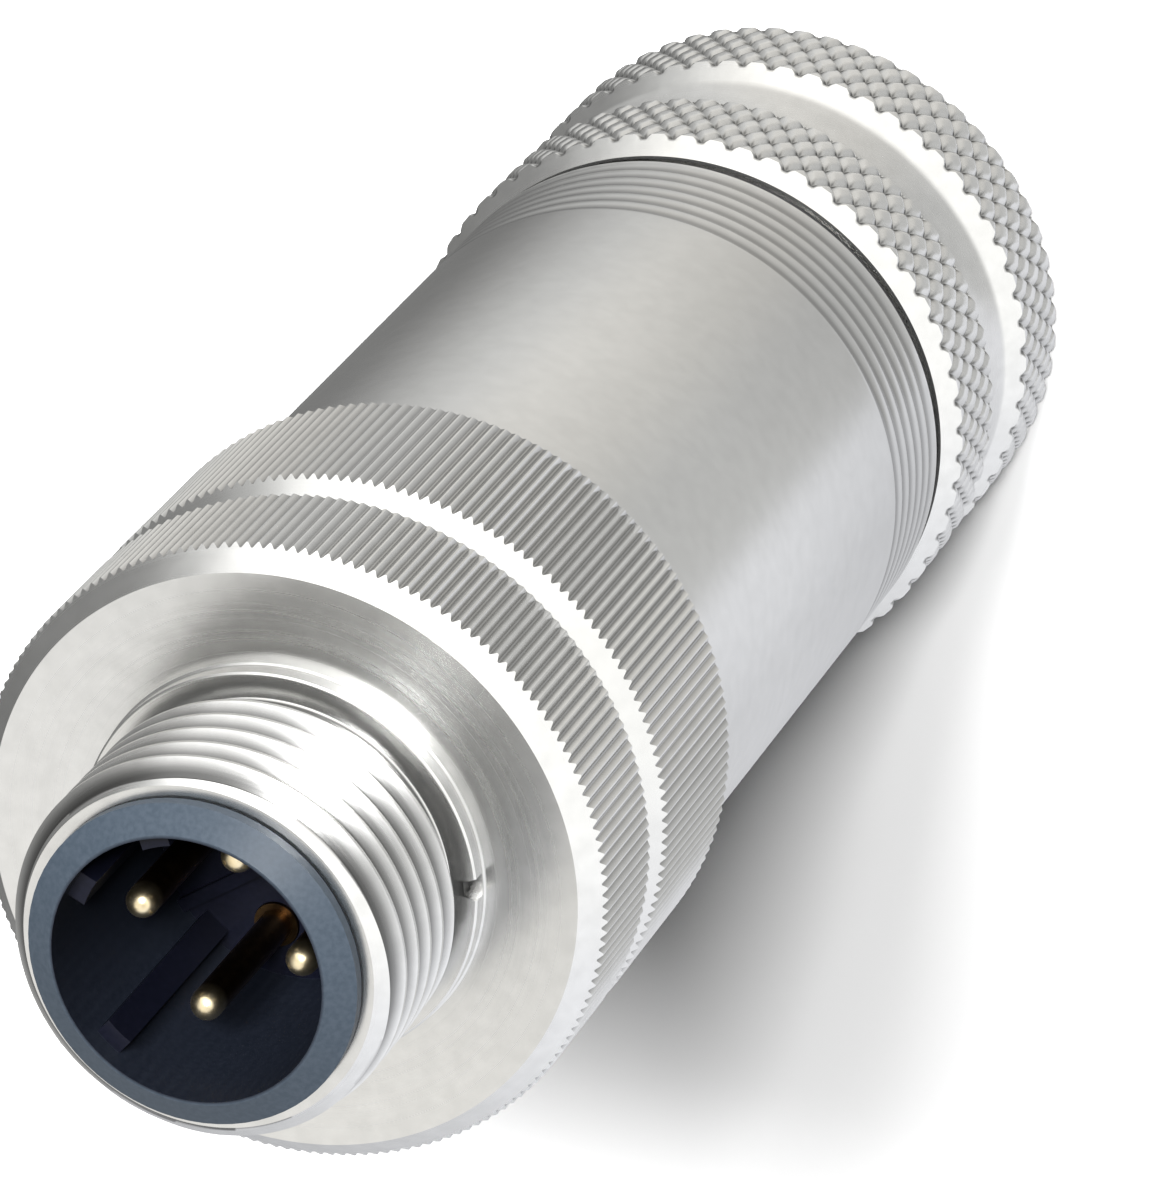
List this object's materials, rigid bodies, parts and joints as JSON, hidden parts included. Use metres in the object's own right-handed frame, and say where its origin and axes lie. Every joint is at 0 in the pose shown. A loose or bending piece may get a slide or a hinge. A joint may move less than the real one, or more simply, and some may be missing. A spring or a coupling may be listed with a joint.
{
  "type": "m12 connector",
  "caption": "Straight M12 cable connector with male thread, four contact pins in a keyed recess, knurled coupling nut, metal housing and knurled cable gland nut.",
  "frame": {"origin": "centre of the gland nut's flat rear face, on which the connector stands", "axes": "+Z runs along the connector to the mating face; +X passes through the first contact pin"},
  "size_m": [0.02, 0.02, 0.0558],
  "materials": {
    "nickel_nut": "satin nickel plate",
    "nickel_housing": "satin nickel plate",
    "nickel_inner": "bright nickel plate",
    "spring_bronze": "bare bronze",
    "contact_gold": "gold plate",
    "steel_small": "bright",
    "insulator_black": "moulded, satin",
    "block_black": "moulded, satin",
    "rubber_black": "matte",
    "cage_plastic": "moulded",
    "slip_plastic": "smooth"
  },
  "bodies": {
    "gland_nut": {"gland_nut": "nickel_nut"},
    "gland_slide": {"slip_washer": "slip_plastic"},
    "housing": {"housing": "nickel_housing", "gland_gasket": "rubber_black", "clamping_cage": "cage_plastic", "cable_seal": "rubber_black", "shield_ring": "nickel_inner", "shield_spring": "spring_bronze"},
    "insert_slide": {"front_o_ring": "rubber_black"},
    "insert": {"front_shell": "nickel_inner", "contact_carrier": "insulator_black", "carrier_seal": "rubber_black", "terminal_block": "block_black", "lock_ring": "nickel_inner", "contact_pin_1": "contact_gold", "contact_pin_2": "contact_gold", "contact_pin_3": "contact_gold", "contact_pin_4": "contact_gold", "terminal_screws": "steel_small", "contact_washer": "spring_bronze", "nut_snap_ring": "steel_small"},
    "coupling_nut": {"coupling_nut": "nickel_nut"}
  },
  "joints": [
    {"name": "gland_lift", "type": "slide", "parent": "gland_nut", "child": "gland_slide", "axis": [0, 0, 1], "range_m": [0, 0.004]},
    {"name": "gland_turn", "type": "hinge", "parent": "gland_slide", "child": "housing", "pos_m": [0, 0, 0.009], "axis": [0, 0, 1], "range_deg": [0, 1440]},
    {"name": "insert_lift", "type": "slide", "parent": "housing", "child": "insert_slide", "axis": [0, 0, 1], "range_m": [0, 0.004]},
    {"name": "insert_turn", "type": "hinge", "parent": "insert_slide", "child": "insert", "pos_m": [0, 0, 0.038], "axis": [0, 0, 1], "range_deg": [0, 1440]},
    {"name": "coupling_turn", "type": "hinge", "parent": "insert", "child": "coupling_nut", "pos_m": [0, 0, 0.045], "axis": [0, 0, 1], "continuous": true}
  ],
  "couplings": [
    {"joint": "gland_turn", "follows": "gland_lift", "rad_per_m": 6283.2},
    {"joint": "insert_turn", "follows": "insert_lift", "rad_per_m": 6283.2}
  ]
}
